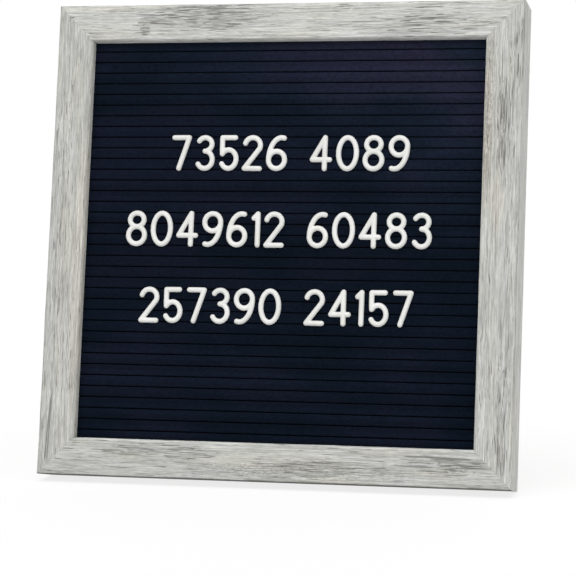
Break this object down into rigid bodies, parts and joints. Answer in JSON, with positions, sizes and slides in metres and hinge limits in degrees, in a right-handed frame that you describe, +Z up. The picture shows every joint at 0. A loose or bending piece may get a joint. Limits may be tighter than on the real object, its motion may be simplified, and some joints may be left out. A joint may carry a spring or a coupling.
{
  "type": "felt letter board",
  "caption": "Square felt letter board in a mitred, whitewashed wooden frame, with push-in plain numerals and a fold-out easel leg behind.",
  "frame": {"origin": "middle of the footprint's box, on the surface that the board stands on", "axes": "+Z up, -Y towards the reader, +X to the reader's right"},
  "size_m": [0.254, 0.082, 0.2543],
  "materials": {
    "whitewashed_wood": "matt whitewash over dark grain",
    "dark_felt": "flocked felt over a grooved board",
    "white_plastic": "satin moulded plastic",
    "grey_card": "raw card",
    "hardboard": "pressed brown fibre board",
    "zinc_steel": "zinc-plated steel"
  },
  "bodies": {
    "board": {"frame_rail_bottom": "whitewashed_wood", "frame_rail_right": "whitewashed_wood", "frame_rail_top": "whitewashed_wood", "frame_rail_left": "whitewashed_wood", "v_nail_bottom_left": "zinc_steel", "v_nail_bottom_right": "zinc_steel", "v_nail_top_left": "zinc_steel", "v_nail_top_right": "zinc_steel", "felt_panel": "dark_felt", "filler_sheet": "grey_card", "back_board": "hardboard", "retainer_point_top": "zinc_steel", "retainer_point_bottom": "zinc_steel", "retainer_point_left_upper": "zinc_steel", "retainer_point_left_lower": "zinc_steel", "retainer_point_right_upper": "zinc_steel", "retainer_point_right_lower": "zinc_steel", "sawtooth_hanger": "zinc_steel", "hanger_nail_left": "zinc_steel", "hanger_nail_right": "zinc_steel", "hinge_leaf_board": "zinc_steel", "hinge_pin": "zinc_steel", "hinge_screw_board_left": "zinc_steel", "hinge_screw_board_right": "zinc_steel", "numeral_row1_01": "white_plastic", "numeral_row1_02": "white_plastic", "numeral_row1_03": "white_plastic", "numeral_row1_04": "white_plastic", "numeral_row1_05": "white_plastic", "numeral_row1_06": "white_plastic", "numeral_row1_07": "white_plastic", "numeral_row1_08": "white_plastic", "numeral_row1_09": "white_plastic", "numeral_row2_01": "white_plastic", "numeral_row2_02": "white_plastic", "numeral_row2_03": "white_plastic", "numeral_row2_04": "white_plastic", "numeral_row2_05": "white_plastic", "numeral_row2_06": "white_plastic", "numeral_row2_07": "white_plastic", "numeral_row2_08": "white_plastic", "numeral_row2_09": "white_plastic", "numeral_row2_10": "white_plastic", "numeral_row2_11": "white_plastic", "numeral_row2_12": "white_plastic", "numeral_row3_01": "white_plastic", "numeral_row3_02": "white_plastic", "numeral_row3_03": "white_plastic", "numeral_row3_04": "white_plastic", "numeral_row3_05": "white_plastic", "numeral_row3_06": "white_plastic", "numeral_row3_07": "white_plastic", "numeral_row3_08": "white_plastic", "numeral_row3_09": "white_plastic", "numeral_row3_10": "white_plastic", "numeral_row3_11": "white_plastic"},
    "leg": {"easel_leg": "hardboard", "hinge_leaf_leg": "zinc_steel", "hinge_screw_leg_left": "zinc_steel", "hinge_screw_leg_right": "zinc_steel"}
  },
  "joints": [
    {"name": "easel_leg_fold", "type": "hinge", "parent": "board", "child": "leg", "pos_m": [0, 0.01342, 0.17241], "axis": [-1, 0, 0], "range_deg": [0, 17.7]}
  ]
}
